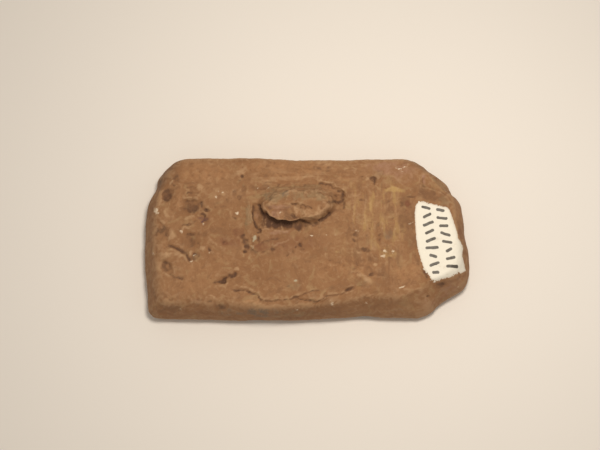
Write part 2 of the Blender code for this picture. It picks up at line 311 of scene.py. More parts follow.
# The stamping face: two grooves across it part three panels, each with a lozenge channel and a dimple.
stamp = {
    "grooves": ((-11.5, 2.5), (13.5, 1.9)), "grooveDepth": 1.1,
    "panels": (-25.4, 1.2, 25.4),
    "lozenge": {"halfX": 8.6, "halfY": 12.6, "width": 3.4, "depth": 1.2, "wall": 0.7},
    "dimple": {"radius": 2.6, "depth": 1.1},
    "groovesReachUp": 0.3,
    "wear": 0.16,
}


def stampDepth(x, y):
    wobble = 0.25 * bumps(np.stack([x, y, 0 * x], axis=1), 3.0, 41)
    depth = np.zeros(len(x))
    for atX, halfWidth in stamp["grooves"]:
        across = np.clip(np.abs(x + wobble - atX) / halfWidth, 0, 1)
        depth = np.maximum(depth, stamp["grooveDepth"] * np.sqrt(1 - across ** 2))
    lozenge, dimple = stamp["lozenge"], stamp["dimple"]
    for atX in stamp["panels"]:
        inside = (1 - np.abs(x + wobble - atX) / lozenge["halfX"] - np.abs(y) / lozenge["halfY"]) * lozenge["halfX"]
        wall = softStep(0, lozenge["wall"], inside) * softStep(lozenge["width"], lozenge["width"] - lozenge["wall"], inside)
        away = np.clip(np.hypot(x - atX, y + wobble) / dimple["radius"], 0, 1)
        depth = np.maximum(depth, np.maximum(lozenge["depth"] * wall, dimple["depth"] * np.sqrt(1 - away ** 2)))
    return depth


# Marks are placed where they are seen from one point, on the level of the back, in millimetres.
sight = {"eye": (-1.65, -60.46, 227.71), "level": 9.5}


def seenAt(points):
    eye = np.array(sight["eye"])
    return eye[:2] + (points[:, :2] - eye[:2]) * ((eye[2] - sight["level"]) / (eye[2] - points[:, 2]))[:, None]


# Marks as seen in millimetres: x, y, half length, half width, turn in degrees, height, tone, strength of the tone.
blots = (
    # the worn corner and the dents of the left end
    (-31.8, 15.0, 2.8, 2.6, 20, 0.0, "brown", 0.6), (-33.6, 13.2, 0.9, 2.6, -15, 0.0, "grey", 0.5),
    (-32.3, 9.4, 1.9, 1.2, 80, -0.3, "dark", 0.62), (-30.2, 13.2, 1.0, 0.8, 40, -0.1, "dark", 0.45),
    (-34.1, 11.9, 1.4, 0.7, 80, -0.1, "dark", 0.4), (-31.2, 12.2, 0.6, 0.3, 60, 0.2, "pale", 0.7),
    (-33.8, 7.6, 0.7, 0.4, 80, 0.1, "pale", 0.5), (-34.2, 5.8, 0.7, 0.6, 60, 0.1, "crust", 0.8),
    (-33.8, 5.0, 0.45, 0.4, 0, 0.08, "crust", 0.7), (-31.7, 4.2, 1.3, 1.6, 0, 0.1, "pale", 0.42),
    (-33.0, 3.0, 1.3, 0.5, -50, 0.1, "pale", 0.4), (-29.2, 8.6, 3.6, 0.9, 86, 0.08, "orange", 0.45),
    (-34.1, 0.9, 1.6, 0.5, 90, -0.1, "dark", 0.4), (-32.6, 0.8, 1.4, 1.1, 80, -0.25, "dark", 0.5),
    (-30.8, -0.4, 1.3, 0.9, 80, 0.15, "pale", 0.42), (-31.6, -4.8, 1.9, 0.6, -6, 0.2, "pale", 0.45),
    (-31.6, -7.3, 1.4, 1.1, 60, -0.2, "dark", 0.5), (-31.3, -9.4, 0.9, 0.3, -15, 0.1, "pale", 0.4),
    (-26.1, 6.5, 2.2, 1.5, 0, -0.25, "dark", 0.55), (-28.7, 5.5, 1.7, 0.8, 10, -0.1, "dark", 0.3),
    (-26.2, 8.2, 1.6, 0.35, -5, 0.15, "pale", 0.35), (-24.8, 11.3, 0.9, 0.6, 20, 0.15, "pale", 0.5),
    (-22.2, 13.2, 0.7, 0.6, 0, 0.06, "pale", 0.35), (-22.6, 14.0, 0.5, 0.2, 0, -0.08, "dark", 0.3),
    (-23.4, 3.4, 0.7, 0.45, 60, -0.15, "plum", 0.95), (-24.3, 3.6, 0.6, 0.4, 20, -0.1, "plum", 0.45),
    (-22.9, 5.5, 0.65, 0.4, 10, -0.2, "dark", 0.6), (-23.4, 2.2, 0.35, 0.28, 40, 0.1, "crust", 0.6),
    (-24.7, 4.3, 0.35, 0.25, 0, 0.1, "crust", 0.5), (-23.8, 7.0, 0.25, 0.5, 0, 0.1, "pale", 0.5),
    (-28.7, 0.5, 0.35, 0.5, 0, 0.12, "crust", 0.65), (-26.6, -1.8, 1.9, 1.7, 0, -0.15, "dark", 0.38),
    (-26.2, 0.0, 1.5, 0.35, 0, -0.12, "dark", 0.4), (-25.2, -5.5, 1.1, 0.8, 60, -0.25, "dark", 0.6),
    (-26.0, -6.7, 0.45, 0.3, 20, 0.15, "crust", 0.9), (-25.4, -5.2, 0.35, 0.3, 0, 0.12, "crust", 0.55),
    (-24.9, -6.3, 0.3, 0.3, 0, 0.12, "crust", 0.5), (-26.4, -4.6, 0.3, 0.8, -20, 0.1, "pale", 0.5),
    (-23.5, -3.3, 0.9, 0.5, 20, 0.12, "pale", 0.4), (-22.2, -3.7, 0.3, 0.35, 0, -0.2, "dark", 0.65),
    (-22.1, -4.5, 0.3, 0.38, 0, 0.1, "crust", 0.7), (-34.5, -4.6, 0.5, 0.35, 20, 0.08, "crust", 0.6),
    (-24.2, -9.4, 5.2, 3.2, 0, 0.0, "orange", 0.3), (-19.0, -6.0, 2.4, 1.6, -20, 0.0, "orange", 0.3),
    (-27.5, -12.5, 5.0, 1.4, 0, 0.0, "orange", 0.25), (-24.0, 14.6, 6.5, 2.4, 0, 0.0, "orange", 0.5),
    (-20.6, 9.7, 2.0, 1.3, 10, 0.05, "pale", 0.3), (-18.6, 9.8, 0.8, 1.0, 0, 0.05, "pale", 0.35),
    (-20.6, 8.9, 0.35, 0.3, 60, 0.08, "crust", 0.75), (-20.1, 9.8, 0.35, 0.22, 0, 0.08, "crust", 0.7),
    (-19.3, 9.7, 0.28, 0.22, 40, 0.08, "crust", 0.65), (-21.2, 7.4, 1.2, 0.4, 0, -0.08, "dark", 0.25),
    (-15.4, 14.7, 1.4, 0.7, 25, 0.12, "pale", 0.5), (-16.7, 13.8, 0.5, 0.7, 0, 0.08, "pale", 0.4),
    (-15.0, 14.0, 0.4, 0.4, 0, -0.3, "dark", 0.85), (-15.6, 12.9, 0.4, 0.3, 0, -0.15, "dark", 0.5),
    (-14.9, 10.2, 0.5, 1.7, 8, -0.12, "dark", 0.35), (-16.6, 9.8, 0.6, 0.9, 0, -0.1, "dark", 0.35),
    (-15.4, 8.6, 0.4, 0.6, 0, -0.15, "dark", 0.4), (-15.9, 4.9, 0.38, 0.42, 30, 0.1, "crust", 0.85),
    (-16.3, 3.9, 0.7, 0.3, -50, -0.12, "dark", 0.45), (-17.2, 5.8, 0.5, 1.5, 0, 0.06, "pale", 0.32),
    (-17.5, 2.0, 0.3, 0.5, 0, 0.08, "crust", 0.5), (-18.4, 7.6, 0.35, 1.4, 8, -0.06, "dark", 0.22),
    (-18.5, -2.3, 0.5, 0.5, 0, -0.15, "red", 1.0), (-17.4, -1.5, 2.8, 1.8, 0, 0.0, "red", 0.5),
    (-18.6, 0.3, 3.2, 0.7, 0, -0.05, "dark", 0.25), (-15.6, 0.4, 1.4, 1.2, 0, -0.1, "red", 0.55),
    (-15.8, -8.1, 0.5, 0.38, 30, 0.15, "pale", 0.5), (-18.2, -11.3, 0.5, 0.3, 20, 0.12, "pale", 0.45),
    (-21.2, -14.3, 0.7, 0.3, -15, 0.08, "pale", 0.55), (-16.2, -14.6, 1.2, 0.5, 20, 0.06, "pale", 0.3),
    (-15.4, -13.0, 1.3, 0.6, 0, -0.08, "dark", 0.3),
    # the near side's left half
    (-31.0, -17.2, 3.6, 1.2, 0, 0.0, "brown", 0.55), (-25.0, -15.7, 1.8, 0.5, 0, 0.0, "plum", 0.25),
    (-19.2, -16.8, 1.8, 0.8, -4, 0.0, "dark", 0.5), (-23.8, -15.4, 0.7, 0.35, 0, -0.08, "dark", 0.45),
    (-21.8, -15.6, 0.5, 0.3, 0, -0.08, "dark", 0.5), (-33.6, -15.0, 0.6, 0.35, 0, -0.08, "dark", 0.5),
    (-30.0, -15.3, 0.35, 0.3, 0, -0.08, "dark", 0.45), (-28.2, -17.4, 0.4, 0.22, -50, 0.06, "crust", 0.7),
    (-26.4, -17.3, 0.55, 0.2, 20, 0.06, "crust", 0.7), (-17.0, -18.2, 3.0, 0.7, 0, 0.0, "grey", 0.4),
    (-10.6, -17.9, 3.8, 1.0, 0, 0.0, "grey", 0.75), (-4.0, -18.3, 4.0, 0.9, 0, 0.0, "olive", 0.5),
    (-5.6, -17.0, 1.2, 0.8, 30, 0.0, "dark", 0.2), (-2.3, -17.45, 0.4, 0.22, 0, 0.06, "crust", 0.85),
    # the cavities left of and below the stump
    (-14.5, -0.5, 0.7, 0.6, 30, -0.25, "dark", 0.65), (-14.0, -1.6, 0.5, 0.8, 0, -0.25, "dark", 0.6),
    (-12.1, -0.9, 0.7, 0.5, 70, 0.3, "stone", 0.8), (-12.5, -2.7, 0.4, 0.35, 0, 0.2, "stone", 0.5),
    (-13.5, -3.0, 0.5, 0.9, 0, -0.25, "dark", 0.7), (-13.7, -4.1, 0.5, 0.5, 0, -0.3, "dark", 0.9),
    (-12.3, -3.9, 1.2, 0.8, 0, -0.12, "dark", 0.4), (-11.2, -1.2, 0.4, 0.9, 0, -0.25, "dark", 0.5),
    (-15.6, -1.6, 0.5, 1.0, 0, -0.1, "red", 0.5), (-8.2, -3.7, 1.0, 0.6, 10, -0.2, "dark", 0.5),
    (-9.9, -4.0, 0.5, 0.4, 0, -0.15, "dark", 0.45), (-11.0, -3.0, 1.2, 0.8, 0, -0.1, "red", 0.5),
    (-1.6, -2.5, 0.5, 0.65, -15, -0.25, "dark", 0.7), (-2.4, -3.1, 0.3, 0.4, 0, -0.2, "dark", 0.6),
    (-1.2, -3.6, 0.4, 0.4, 0, -0.15, "dark", 0.5), (-3.0, -4.5, 0.25, 0.5, 0, -0.12, "dark", 0.45),
    (-4.6, -5.1, 0.5, 0.3, 20, -0.12, "dark", 0.5), (-6.0, -2.2, 6.5, 2.8, 0, 0.0, "red", 0.42),
    (-6.6, 0.5, 2.6, 0.5, 0, 0.15, "rose", 0.6), (-11.0, 0.8, 0.6, 0.6, 0, -0.3, "dark", 0.75),
    (1.1, -0.15, 0.5, 0.25, 10, 0.08, "crust", 0.95), (4.15, -0.25, 0.28, 0.42, 0, 0.06, "crust", 0.6),
    (6.2, -0.5, 0.3, 0.25, 0, 0.06, "crust", 0.4), (2.6, -4.6, 2.8, 0.9, 30, -0.05, "dark", 0.22),
    (2.0, -1.8, 3.6, 1.8, 0, 0.0, "red", 0.3), (4.1, -5.3, 0.5, 0.6, 0, 0.06, "pale", 0.5),
    (7.8, -5.9, 1.4, 0.5, 0, 0.05, "pale", 0.35), (6.0, -8.4, 0.2, 0.9, 0, 0.05, "pale", 0.45),
    (6.7, -3.8, 0.5, 0.4, 0, 0.05, "yellow", 0.5), (7.4, -4.6, 2.6, 1.4, 0, 0.0, "straw", 0.3),
    (-4.3, -12.0, 0.4, 0.3, 0, -0.1, "dark", 0.4), (-2.6, -10.8, 0.5, 0.3, 0, 0.08, "stone", 0.8),
    (-3.0, -12.2, 1.7, 1.1, 0, 0.0, "olive", 0.5), (-8.0, -9.4, 6.5, 2.8, 0, 0.0, "brown", 0.22),
    (1.6, -14.3, 1.9, 0.6, 0, 0.05, "pale", 0.25), (6.8, -12.4, 3.0, 0.9, 10, -0.05, "brown", 0.5),
    (9.6, -12.8, 0.7, 0.35, 15, -0.3, "dark", 0.85), (4.0, -14.0, 0.4, 0.3, 0, -0.15, "dark", 0.55),
    (5.1, -15.8, 0.4, 0.6, 0, 0.08, "crust", 0.8), (-12.7, -15.7, 1.3, 0.3, 0, 0.12, "orange", 0.9),
    (-10.8, -16.1, 1.2, 0.3, 0, 0.1, "orange", 0.8), (-11.2, -15.3, 0.7, 0.3, 40, 0.1, "orange", 0.6),
    (3.6, -8.4, 2.6, 2.4, 0, 0.0, "orange", 0.3), (10.4, -8.0, 4.4, 2.8, -20, 0.0, "orange", 0.4),
    (11.6, -11.2, 1.8, 0.8, 15, 0.0, "olive", 0.5), (8.3, -10.8, 0.5, 0.3, 0, -0.08, "dark", 0.35),
    # the stump
    # the dark band at the foot of the stump's front wall, in the first two marks here and the one at 0.8, 2.2, is
    # painted shade under its overhanging lip, partly dark dirt
    (-7.6, 2.6, 3.0, 1.15, 0, -0.45, "dark", 0.95), (-3.4, 1.9, 2.7, 0.9, -8, -0.35, "dark", 0.9),
    (-9.7, 4.2, 0.55, 1.3, 10, -0.2, "dark", 0.8), (0.8, 2.2, 2.4, 0.4, 0, -0.15, "dark", 0.5),
    (-4.4, 4.3, 1.6, 0.7, -15, -0.1, "dark", 0.5), (-7.2, 9.2, 3.0, 1.5, 0, 0.0, "olive", 0.8),
    (-5.0, 9.4, 0.9, 1.0, 0, -0.1, "grey", 0.6), (-8.4, 9.1, 0.9, 0.8, 0, -0.06, "grey", 0.35),
    (-1.4, 9.2, 2.6, 1.4, 0, 0.0, "olive", 0.65), (2.4, 9.0, 2.4, 1.2, 0, 0.0, "olive", 0.6),
    (-4.8, 11.2, 3.0, 0.5, 0, 0.05, "straw", 0.5), (1.4, 11.1, 2.6, 0.6, 0, 0.04, "olive", 0.4),
    (-6.6, 6.5, 3.0, 0.6, -4, 0.05, "rose", 0.6), (-7.4, 4.9, 2.2, 1.0, 0, 0.0, "rose", 0.55),
    (-6.8, 5.6, 2.6, 0.4, 0, 0.0, "red", 0.45), (-6.1, 5.0, 0.5, 0.4, 0, 0.12, "crust", 0.65),
    (-8.6, 4.3, 0.3, 0.35, 0, 0.12, "crust", 0.35), (-6.6, 3.75, 0.9, 0.2, 0, 0.1, "crust", 0.35),
    (-2.0, 5.7, 2.2, 0.7, -25, 0.06, "pale", 0.42), (0.6, 4.8, 2.6, 1.1, -8, 0.08, "pale", 0.42),
    (2.8, 5.9, 0.9, 1.1, 0, 0.05, "pale", 0.38), (4.8, 7.4, 0.8, 0.5, 0, -0.12, "dark", 0.5),
    (5.6, 6.8, 0.22, 0.55, 0, 0.1, "pale", 0.75), (6.6, 7.7, 1.1, 0.5, 0, -0.15, "dark", 0.7),
    (7.9, 8.6, 0.5, 1.4, 0, -0.15, "dark", 0.75), (8.5, 6.6, 0.35, 1.0, 0, -0.1, "dark", 0.5),
    (6.0, 9.3, 1.2, 0.8, 0, -0.06, "brown", 0.6), (-13.4, 4.4, 0.8, 3.4, 0, 0.05, "olive", 0.7),
    (-11.9, 8.7, 2.4, 0.5, 4, 0.06, "straw", 0.5), (-11.0, 11.0, 2.8, 0.8, 0, -0.05, "brown", 0.55),
    (-11.4, 11.2, 0.28, 0.6, 0, 0.08, "crust", 0.5), (-9.0, 10.7, 0.5, 0.25, 10, 0.08, "crust", 0.65),
    (-11.8, 11.9, 0.3, 0.25, 0, 0.08, "crust", 0.4), (-7.5, 12.3, 0.6, 0.2, 8, 0.08, "pale", 0.5),
    # the strip beyond the stump
    (2.3, 15.9, 1.2, 0.6, 0, -0.1, "dark", 0.42), (4.8, 15.9, 0.7, 0.6, 0, -0.1, "dark", 0.38),
    (-2.9, 15.0, 1.0, 0.38, 0, -0.06, "dark", 0.28), (-5.9, 14.0, 0.4, 0.22, 0, -0.08, "dark", 0.45),
    (-4.0, 15.8, 11.0, 1.9, 0, 0.0, "orange", 0.5), (-6.0, 13.2, 7.0, 1.0, 0, 0.0, "orange", 0.3),
    (3.8, 16.9, 1.8, 0.4, -8, 0.04, "pale", 0.5), (10.0, 15.6, 2.4, 0.25, 0, 0.04, "pale", 0.5),
    (11.4, 14.2, 0.4, 0.4, 0, 0.05, "pale", 0.5), (9.4, 13.6, 3.0, 1.6, 0, 0.0, "orange", 0.4),
    # the right end
    (16.3, 14.0, 1.2, 1.1, 0, 0.1, "dark", 0.42), (15.1, 13.1, 1.1, 0.5, -20, -0.3, "dark", 0.7),
    (15.6, 12.3, 0.5, 0.3, -60, -0.2, "dark", 0.5), (13.5, 13.1, 0.6, 0.5, 0, 0.1, "pale", 0.4),
    (16.2, 11.8, 0.4, 0.4, 0, 0.1, "pale", 0.5), (20.8, 16.0, 0.95, 0.22, 0, 0.08, "crust", 1.0),
    (22.4, 16.2, 0.5, 0.2, 10, 0.06, "crust", 0.85), (23.2, 16.5, 0.5, 0.2, 20, 0.06, "crust", 0.75),
    (22.1, 15.1, 0.3, 0.25, 0, 0.05, "crust", 0.6), (18.6, 14.4, 0.6, 0.2, 20, 0.04, "pale", 0.5),
    (19.5, 15.6, 6.0, 1.8, 0, 0.0, "rose", 0.55), (22.5, 13.0, 2.5, 1.2, 0, 0.0, "rose", 0.3),
    (19.8, 10.4, 2.2, 0.6, -4, 0.04, "yellow", 0.65), (21.9, 9.7, 1.1, 0.35, -10, 0.0, "yellow", 0.35),
    (14.4, 11.4, 1.2, 0.8, 0, 0.04, "pale", 0.3), (12.3, 8.2, 0.6, 0.35, 0, -0.15, "dark", 0.5),
    (14.3, 4.6, 1.1, 3.4, 0, 0.0, "yellow", 0.3), (18.0, 4.1, 2.3, 1.4, 0, 0.04, "straw", 0.4),
    (17.6, 7.3, 0.8, 0.7, 0, -0.08, "dark", 0.28), (19.3, 7.9, 1.2, 0.45, 30, -0.08, "dark", 0.32),
    (22.4, 5.0, 1.7, 4.6, 0, -0.05, "brown", 0.7), (23.2, 0.0, 1.3, 4.0, 0, 0.0, "brown", 0.45),
    (21.5, 6.8, 0.5, 0.6, 0, -0.1, "dark", 0.4), (23.0, 7.0, 0.6, 0.8, 0, -0.1, "red", 0.9),
    (22.9, 5.3, 0.45, 0.6, 0, -0.08, "red", 0.7), (24.0, 8.8, 0.9, 0.35, 0, -0.1, "dark", 0.5),
    (23.3, 2.2, 0.7, 0.25, 25, 0.05, "crust", 0.55), (21.5, 0.4, 0.8, 0.3, 0, -0.08, "dark", 0.3),
    (18.2, -0.2, 1.5, 1.1, 20, 0.0, "grey", 0.45), (14.8, -1.6, 1.6, 1.2, 0, 0.0, "straw", 0.35),
    (11.0, 0.0, 0.9, 0.45, 20, -0.25, "dark", 0.7), (11.4, 0.85, 0.45, 0.32, 30, 0.1, "crust", 0.65),
    (10.4, -1.4, 0.35, 0.7, 20, -0.2, "dark", 0.6), (13.1, -3.9, 1.3, 0.5, 0, -0.2, "dark", 0.55),
    (11.5, -4.6, 0.5, 0.35, -20, 0.08, "pale", 0.45), (16.8, -5.4, 0.9, 0.6, 10, 0.12, "crust", 0.75),
    (17.7, -4.2, 0.4, 0.35, 0, 0.1, "crust", 0.55), (19.2, -3.9, 0.22, 0.7, 0, 0.08, "crust", 0.8),
    (18.0, -4.6, 2.0, 1.4, 0, 0.0, "yellow", 0.35), (18.6, -5.9, 0.5, 0.25, 0, -0.12, "dark", 0.45),
    (15.3, -7.3, 0.6, 0.4, 0, 0.08, "pale", 0.75), (14.6, -9.2, 1.0, 0.5, 10, -0.18, "dark", 0.6),
    (16.0, -9.5, 0.6, 0.35, 0, -0.12, "dark", 0.4), (13.0, -10.2, 2.4, 0.6, -30, 0.08, "pale", 0.32),
    (21.0, -12.3, 0.6, 0.28, 20, 0.05, "crust", 0.7), (22.5, -9.0, 3.2, 2.4, 0, 0.0, "orange", 0.45),
    (16.3, -11.7, 2.8, 0.8, 0, 0.0, "brown", 0.35), (26.4, -9.3, 0.4, 1.5, 30, -0.2, "dark", 0.7),
    (24.6, -5.8, 0.4, 1.6, 15, -0.08, "dark", 0.35),
    (28.4, 9.4, 4.6, 1.6, -10, 0.0, "brown", 0.75), (31.4, 7.8, 1.1, 1.4, 30, -0.05, "olive", 0.6),
    (25.6, 11.2, 2.0, 0.9, 0, 0.0, "brown", 0.4), (26.8, 13.4, 0.45, 1.3, 10, 0.1, "rose", 0.8),
    (30.4, 11.7, 2.8, 1.2, -40, 0.0, "straw", 0.5), (34.2, 5.8, 0.8, 2.6, 5, 0.0, "orange", 0.75),
    (34.6, -0.4, 0.5, 1.6, 0, -0.05, "red", 0.55), (35.7, 2.0, 0.5, 6.0, 0, 0.0, "rose", 0.5),
    # the broken corner below the patch and the near side's right half
    (32.2, -11.4, 3.2, 1.1, 25, 0.0, "plum", 0.22), (29.6, -11.8, 1.4, 0.6, 25, -0.08, "dark", 0.4),
    (31.5, -13.0, 3.0, 0.9, 30, 0.0, "rose", 0.35), (33.3, -12.2, 0.3, 0.4, 10, 0.08, "crust", 0.7),
    (27.0, -14.4, 0.35, 0.3, 0, -0.12, "dark", 0.75), (13.0, -15.5, 0.65, 0.32, 10, 0.06, "crust", 0.6),
    (14.4, -15.2, 0.35, 0.25, 30, 0.05, "crust", 0.4), (18.0, -16.0, 7.0, 1.5, 0, 0.0, "brown", 0.35),
    (19.2, -17.4, 1.6, 0.3, 0, 0.04, "rose", 0.4), (27.0, -16.2, 2.0, 1.4, 0, 0.0, "rose", 0.3),
    (4.0, -17.6, 5.0, 1.0, 0, 0.0, "brown", 0.35),
)

# Cracks, seams and small ridges: path, half width, height, tone, strength of the tone.
lines = (
    (((-32.2, -2.4), (-30.4, -3), (-28.6, -3.8), (-27.5, -4.8), (-26.9, -5.8), (-26.2, -6.8)), 0.45, -0.25, "dark", 0.65),
    (((-33.4, -4), (-31, -4.4), (-29, -4.9), (-27.9, -5.6)), 0.4, 0.12, "pale", 0.35),
    (((-31, -8.6), (-29.8, -9.8), (-28.8, -10.2), (-27.4, -10.3)), 0.4, -0.15, "dark", 0.5),
    (((-27.6, 10.9), (-26.6, 11.1), (-25.4, 10.9)), 0.2, -0.12, "dark", 0.4),
    (((-27.6, 9.8), (-26.4, 9.9), (-24.6, 9.9)), 0.24, -0.15, "dark", 0.45),
    (((-27.4, 9.1), (-26, 9.2), (-24.8, 9)), 0.18, -0.1, "dark", 0.35),
    (((-28.4, 12), (-26.8, 11.9), (-25.4, 11.9)), 0.22, -0.08, "dark", 0.3),
    (((-24.2, 7.6), (-23.9, 6.6), (-23.5, 5.9), (-22.8, 5.6)), 0.26, -0.2, "dark", 0.6),
    (((-24, 4.9), (-23.4, 4.1), (-23.4, 2.8)), 0.34, -0.2, "dark", 0.7),
    (((-28.3, 3.1), (-26.8, 4.1), (-25.2, 4.2)), 0.36, 0.22, "pale", 0.55),
    (((-28.9, 2.2), (-27.4, 2.4), (-26, 2.8), (-24.8, 3.2)), 0.28, -0.12, "dark", 0.4),
    (((-28.9, 0.9), (-27.6, 1.5), (-26.2, 1.4)), 0.42, 0.18, "pale", 0.5),
    (((-25.3, 0.4), (-24.2, -0.2), (-23.2, -0.5), (-21.8, 0)), 0.2, -0.08, "dark", 0.3),
    (((-31.3, 12.6), (-30.9, 11.8), (-30.6, 11.2)), 0.16, -0.15, "dark", 0.7),
    (((-22.6, -1), (-20.6, -2.6), (-18.4, -4.6)), 0.45, 0.12, "pale", 0.38),
    (((-21.8, -11.7), (-20.2, -11.3), (-19.1, -11), (-18.5, -10.3), (-17.2, -9.8), (-16.4, -9.2), (-15.9, -8.7)),
     0.36, -0.3, "dark", 0.85),
    (((-20.2, -11.1), (-19.4, -11), (-18.7, -10.6)), 0.42, -0.1, "dark", 0.6),
    (((-16.6, -9.4), (-15.6, -9.2), (-14.4, -9.5)), 0.22, -0.08, "dark", 0.35),
    (((-19, -12.1), (-17.2, -12.9), (-15.8, -13.2), (-13.6, -13.2), (-12, -13.6), (-11.3, -14.1), (-10.9, -14.9),
      (-10.3, -15.3), (-8, -15.2), (-5.6, -15), (-3, -14.7), (-1.4, -14.3), (-0.2, -13.7), (1.4, -13.3),
      (3, -13.2), (3.9, -13.7)), 0.24, -0.16, "dark", 0.6),
    (((-3, -14.7), (-1.2, -15.2), (1.6, -15.5), (3.2, -15.1), (4.2, -14.4), (5.4, -14.1), (7.4, -13.8),
      (8.6, -13.2), (10.4, -12.6)), 0.22, -0.15, "dark", 0.55),
    (((10.6, -12.3), (12.6, -12.1), (14.6, -12.5)), 0.3, -0.08, "dark", 0.25),
    (((-17, -11.9), (-14, -12.2), (-12, -12.8)), 0.3, 0.1, "pale", 0.3),
    (((-24, -14.8), (-20, -14.9), (-16, -15.8), (-10, -16.6), (-4, -16.4), (2, -16)), 0.3, 0.06, "pale", 0.25),
    (((21, -12.9), (24, -12.9), (26.4, -12.8)), 0.35, 0.1, "pale", 0.4),
    # round the stump
    (((2, 12.1), (3.6, 12), (5, 11.8), (6.6, 11), (7.8, 10)), 0.24, -0.22, "dark", 0.5),
    (((1.6, 12.6), (3.6, 12.5), (5.4, 12), (7.4, 11.2), (8.6, 10.2)), 0.32, 0.16, "pale", 0.5),
    (((-12.4, 12.1), (-9.6, 12), (-7.6, 11.9), (-5.4, 12)), 0.18, -0.1, "dark", 0.3),
    (((-10, 10.4), (-8, 10.9), (-6, 11.9)), 0.18, -0.08, "dark", 0.2),
    (((-4.3, 7.1), (-2.6, 7.1), (-1.4, 6.9), (0.6, 6.45), (1.5, 6.3)), 0.16, -0.14, "dark", 0.65),
    (((-3.8, 5.2), (-2.8, 4.5), (-1.9, 3.8), (-1.4, 3)), 0.3, -0.18, "dark", 0.6),
    (((5.3, 5.3), (4.5, 4.6), (3.7, 3.9), (3.1, 3.2), (2.3, 2.8)), 0.32, -0.3, "dark", 0.85),
    (((-10.9, 7.3), (-10.7, 5.6), (-10.3, 4.2), (-9.9, 3.4)), 0.36, -0.5, "dark", 0.85),
    (((-12.1, 7), (-12.1, 4.5), (-12, 2.4), (-11.4, 0.7)), 0.3, -0.3, "dark", 0.6),
    (((-11.4, 6.4), (-11.35, 4.6), (-11.2, 2.8)), 0.28, 0.12, "rose", 0.45),
    (((-10, 1.5), (-8, 1.2), (-6, 1)), 0.2, 0.12, "rose", 0.45),
    (((-11, -2.4), (-8.6, -1.6), (-6.4, -0.8), (-5, -0.6)), 0.3, -0.12, "dark", 0.4),
    (((-8.6, -3.2), (-6.8, -2.2), (-5, -1.6), (-3.4, -0.6)), 0.3, 0.12, "rose", 0.35),
    (((-4.4, 16.2), (0, 15.9), (4, 15.5), (6.4, 15.7)), 0.2, -0.05, "dark", 0.22),
    # the right field
    (((10, -6.8), (11.4, -7), (13, -7.6)), 0.22, -0.08, "dark", 0.4),
    (((9.4, -8), (11.4, -9.4), (13, -10.2), (14.4, -11)), 0.45, 0.1, "pale", 0.35),
    (((10.6, 8), (10.5, 5), (10.6, 1.6)), 0.24, 0.06, "pale", 0.4),
    (((13.2, 10.4), (13.3, 7), (13, 3.6), (13.6, 1)), 0.3, 0.06, "pale", 0.4),
    (((14.4, 8.4), (14.5, 6), (14.9, 4.4)), 0.25, 0.05, "yellow", 0.4),
    (((8.9, 4.2), (9.4, 2), (9.2, 0.4)), 0.25, -0.06, "dark", 0.28),
    (((26.3, 14.3), (26.2, 12.8), (26.4, 11.6), (28, 11), (30, 10.4), (31.9, 8.8), (33, 7)), 0.22, 0.06, "pale", 0.3),
    (((24.6, 6.6), (24.1, 3), (24.2, -0.4), (24.7, -4.2)), 0.35, -0.04, "brown", 0.5),
    (((27.4, -10.6), (28.6, -11.6), (31, -11.5), (33.6, -10.3), (35.3, -9.4)), 0.3, -0.05, "dark", 0.4),
    (((-34.1, 1), (-34, -2), (-34, -6)), 0.22, -0.06, "dark", 0.35),
    (((-34.7, 8), (-34.9, 3), (-34.7, -3), (-34.5, -9), (-34.1, -14)), 0.2, 0.05, "pale", 0.25),
)

# Folds: the left side of the path stands up by this much, soft at its edge, and sinks back over this reach.
folds = (
    (((-33, -3), (-30.5, -3.5), (-28.6, -4.3), (-27.4, -5.4), (-26.4, -6.9), (-25.2, -6.8)), -0.4, 0.3, 2.4),
    (((-28.6, 8.2), (-26.6, 8.4), (-24.4, 8)), 0.3, 0.3, 1.6),
    (((-33.4, -6.2), (-31.4, -6), (-30.4, -7.2), (-29.6, -9.2)), 0.3, 0.3, 1.6),
    (((-16.2, -12.9), (-11.6, -13.5), (-10.4, -15.2), (-5, -15.1), (-1, -14.2), (3, -13.2)), 0.25, 0.2, 2.2),
    (((-1.6, -14.9), (2.6, -15.5), (5.2, -14.1), (9, -13.2), (10.6, -12.4)), 0.25, 0.2, 2.0),
    (((26.4, 14.4), (26.3, 11.7), (30, 10.5), (32, 8.8)), -0.4, 0.3, 3.0),
    (((-12.4, 7.6), (-12.3, 4), (-11.8, 1)), -0.35, 0.25, 1.2),
    (((9, 8), (8, 10.4), (5.6, 12), (2, 12.5)), -0.25, 0.3, 1.6),
)

texture = {
    "broad": (11.0, 0.14), "middle": (4.2, 0.10), "small": (1.7, 0.05), "fine": (0.8, 0.03),
    "wander": ((2.8, 0.42), (1.1, 0.26), (0.5, 0.12)),  # how marks stray from their drawn edges
    "uneven": (1.3, 0.75),  # size and strength of the gaps in a mark
    # zones with a grain: limits in x and y, softness, size, stretch and height
    "streaky": {"x": (9.5, 21.5), "y": (-12.0, 12.0), "soft": 2.0, "size": 1.3, "stretch": (1, 0.3, 0.5), "height": 0.13},
    "striped": {"x": (-13.0, 12.0), "y": (7.4, 17.0), "soft": 1.2, "size": 1.0, "stretch": (0.22, 1, 0.5), "height": 0.10},
    "terraces": (5.5, 2.2, 0.11),  # size, steps and height of the small ledges left by handling
    "fracture": 0.26,
    "pits": {"count": 180, "size": (0.22, 0.5), "depth": (0.05, 0.18)},
}


def placed(places, points):  # marks stray a little, as they do on real clay
    for k, (size, reach) in enumerate(texture["wander"]):
        stray = np.stack([bumps(points, size, 50 + 3 * k), bumps(points, size, 51 + 3 * k)], axis=1)
        places = places + reach * stray
    return places


def blotShape(places, x, y, halfX, halfY, turn):
    turn = np.radians(turn)
    off = places - (x, y)
    along = off @ (np.cos(turn), np.sin(turn)) / halfX
    across = off @ (-np.sin(turn), np.cos(turn)) / halfY
    return softStep(1.5, 0.35, np.hypot(along, across))


